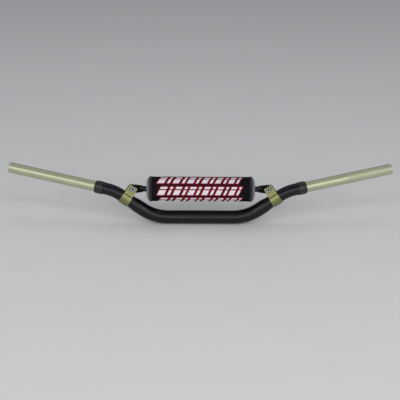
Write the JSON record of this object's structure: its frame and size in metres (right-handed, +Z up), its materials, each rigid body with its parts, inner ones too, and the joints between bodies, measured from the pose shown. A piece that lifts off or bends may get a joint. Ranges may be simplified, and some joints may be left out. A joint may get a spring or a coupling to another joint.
{
  "type": "motocross handlebar",
  "caption": "Braced motocross handlebar: a bent double tube with straight knurled grip ends, clamped crossbar and round foam pad.",
  "frame": {"origin": "middle of the straight clamping centre, on the tube's axis", "axes": "+X along the clamping centre across the motorcycle, +Y back towards the rider, +Z up"},
  "size_m": [0.813, 0.0746, 0.1176],
  "materials": {
    "sage_anodised": "satin hard-anodised, sage",
    "black_anodised": "satin anodised, black",
    "grey_anodised": "matt bead-blasted, dark grey",
    "olive_anodised": "machined and anodised, olive",
    "black_fitting": "machined and anodised, black",
    "bright_steel": "bright zinc-plated",
    "grey_foam": "open-cell foam, grey",
    "pad_cover": "coated cloth, black with printed stripes",
    "pad_binding": "woven tape, charcoal",
    "hook_tape": "hook-and-loop tape, black"
  },
  "bodies": {
    "root": {"clamp_bolt_left": "bright_steel", "clamp_bolt_right": "bright_steel", "clamp_left": "olive_anodised", "clamp_nut_left": "bright_steel", "clamp_nut_right": "bright_steel", "clamp_right": "olive_anodised", "clamp_washer_left": "bright_steel", "clamp_washer_right": "bright_steel", "collar_left": "grey_anodised", "collar_right": "grey_anodised", "crossbar_end_left": "black_fitting", "crossbar_end_right": "black_fitting", "crossbar_pin_left": "bright_steel", "crossbar_pin_right": "bright_steel", "crossbar_tube": "black_anodised", "inner_tube": "sage_anodised", "outer_tube": "black_anodised", "pad_binding_left": "pad_binding", "pad_binding_right": "pad_binding", "pad_closure_strip": "hook_tape", "pad_foam": "grey_foam", "pad_sleeve": "pad_cover"}
  },
  "joints": []
}
